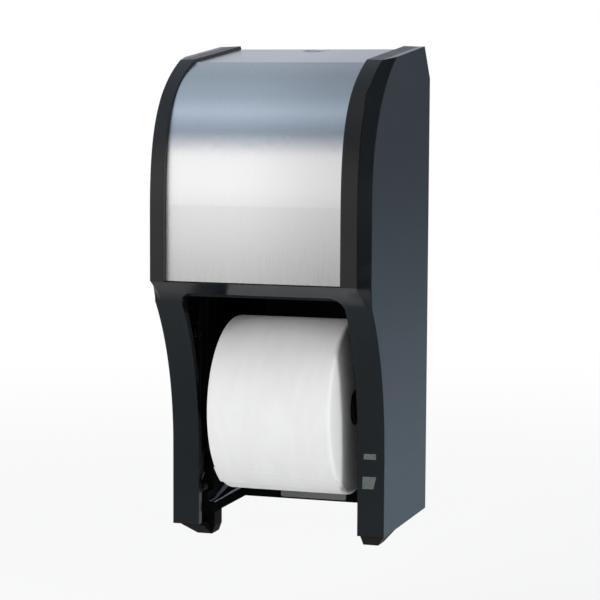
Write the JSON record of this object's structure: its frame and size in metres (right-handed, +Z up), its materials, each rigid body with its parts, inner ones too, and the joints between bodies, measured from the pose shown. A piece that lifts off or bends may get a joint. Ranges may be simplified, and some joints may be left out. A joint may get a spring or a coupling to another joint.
{
  "type": "two-roll toilet paper dispenser",
  "caption": "Wall-mounted dispenser for toilet paper with a reserve roll above the one in use, a hinged lockable cover and sprung release levers.",
  "frame": {"origin": "centre of the four wall-screw holes, on the wall plane", "axes": "+X to the right seen from the front, +Y into the wall, +Z up; the front faces -Y"},
  "size_m": [0.16, 0.1775, 0.3598],
  "materials": {
    "cover_black": "textured sides, glossy legs and header",
    "trim_black": "fine matte",
    "stainless": "brushed from top to bottom",
    "chassis_black": "satin moulded",
    "lever_black": "semi-gloss",
    "spindle_black": "satin moulded",
    "lock_metal": "plated",
    "steel_parts": "zinc plated",
    "dark_steel": "blackened",
    "tissue": "soft embossed",
    "core_board": "grey board"
  },
  "bodies": {
    "chassis": {"back_plate": "chassis_black", "left_side_frame": "chassis_black", "right_side_frame": "chassis_black", "lower_frame": "chassis_black", "frame_screws": "steel_parts", "rail_screws": "steel_parts", "lock_strike": "steel_parts", "strike_screws": "steel_parts", "left_hinge_pin": "steel_parts", "right_hinge_pin": "steel_parts", "pin_lock_screws": "steel_parts", "left_lever_pivot": "dark_steel", "right_lever_pivot": "dark_steel"},
    "cover": {"cover_shell": "cover_black", "front_panel": "stainless", "left_rim_trim": "trim_black", "right_rim_trim": "trim_black", "trim_screws": "steel_parts", "lock_housing": "lock_metal", "lock_nut": "lock_metal"},
    "key_plug": {"lock_plug": "lock_metal", "lock_cam": "steel_parts", "cam_screw": "steel_parts"},
    "left_lever": {"left_release_lever": "lever_black", "left_lever_spring": "dark_steel"},
    "right_lever": {"right_release_lever": "lever_black", "right_lever_spring": "dark_steel"},
    "lower_roll": {"lower_paper_roll": "tissue", "lower_core": "core_board", "lower_spindle": "spindle_black"},
    "upper_roll": {"upper_paper_roll": "tissue", "upper_core": "core_board", "upper_spindle": "spindle_black"}
  },
  "joints": [
    {"name": "cover_hinge", "type": "hinge", "parent": "chassis", "child": "cover", "pos_m": [0, -0.086, -0.169], "axis": [1, 0, 0], "range_deg": [0, 95]},
    {"name": "lock_turn", "type": "hinge", "parent": "cover", "child": "key_plug", "pos_m": [0, -0.03, 0.169], "axis": [0, 0, 1], "range_deg": [0, 90]},
    {"name": "left_lever_press", "type": "hinge", "parent": "chassis", "child": "left_lever", "pos_m": [-0.066, -0.093, -0.035], "axis": [1, 0, 0], "range_deg": [0, 7], "stiffness_Nm_per_rad": 0.4, "springref_deg": -8.59},
    {"name": "right_lever_press", "type": "hinge", "parent": "chassis", "child": "right_lever", "pos_m": [0.066, -0.093, -0.035], "axis": [1, 0, 0], "range_deg": [0, 7], "stiffness_Nm_per_rad": 0.4, "springref_deg": -8.59},
    {"name": "lower_roll_turn", "type": "hinge", "parent": "chassis", "child": "lower_roll", "pos_m": [0, -0.0842, -0.0874], "axis": [1, 0, 0], "continuous": true},
    {"name": "upper_roll_turn", "type": "hinge", "parent": "chassis", "child": "upper_roll", "pos_m": [0, -0.0842, 0.053], "axis": [1, 0, 0], "continuous": true}
  ]
}
